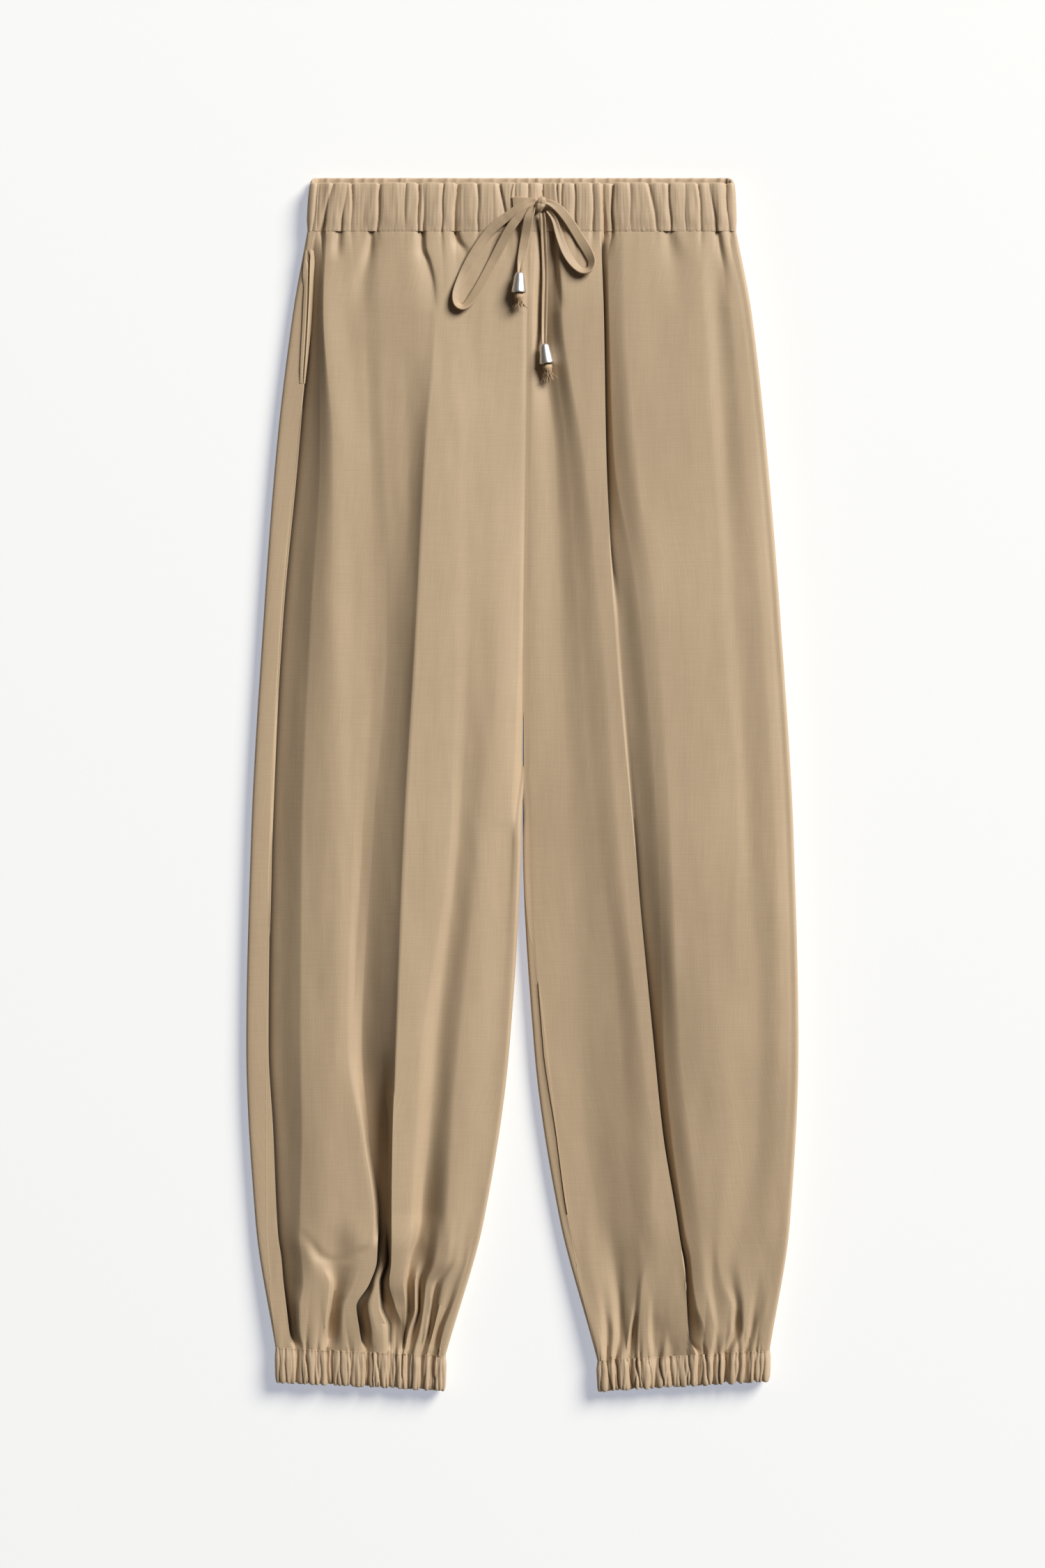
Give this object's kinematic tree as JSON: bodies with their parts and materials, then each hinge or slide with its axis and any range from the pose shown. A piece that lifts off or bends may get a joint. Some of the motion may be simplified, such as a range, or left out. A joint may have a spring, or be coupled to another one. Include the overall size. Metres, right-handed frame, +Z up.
{
  "type": "joggers laid flat",
  "caption": "Harem joggers laid flat: gathered elastic waistband and cuffs, balloon legs with long soft folds, side pocket and a tape drawstring tied in a bow.",
  "frame": {"origin": "centre of the object's footprint, on the surface that it lies on", "axes": "+X across to the wearer's left, +Y along the legs towards the waist, +Z up from the surface, out of the front of the joggers"},
  "size_m": [0.4558, 1.0031, 0.0301],
  "materials": {
    "cloth": "soft satin-faced woven cloth with a faint vertical sheen",
    "casing": "the same cloth, gathered over elastic and stitched",
    "tape": "narrow folded tape of the same cloth",
    "fray": "knotted tape end frayed to loose yarns",
    "metal": "polished silver metal"
  },
  "bodies": {
    "root": {"front_right": "cloth", "front_left": "cloth", "back_right": "cloth", "back_left": "cloth", "waistband": "casing", "cuff_right": "casing", "cuff_left": "casing", "pocket_lip_back": "cloth", "pocket_lip_front": "cloth", "string_stub": "tape", "bow_loop_right": "tape", "bow_loop_left": "tape", "tail_short": "tape", "tail_long": "tape", "bow_knot": "tape", "cord_end_short": "metal", "cord_end_long": "metal", "end_knot_short": "fray", "end_knot_long": "fray"}
  },
  "joints": []
}
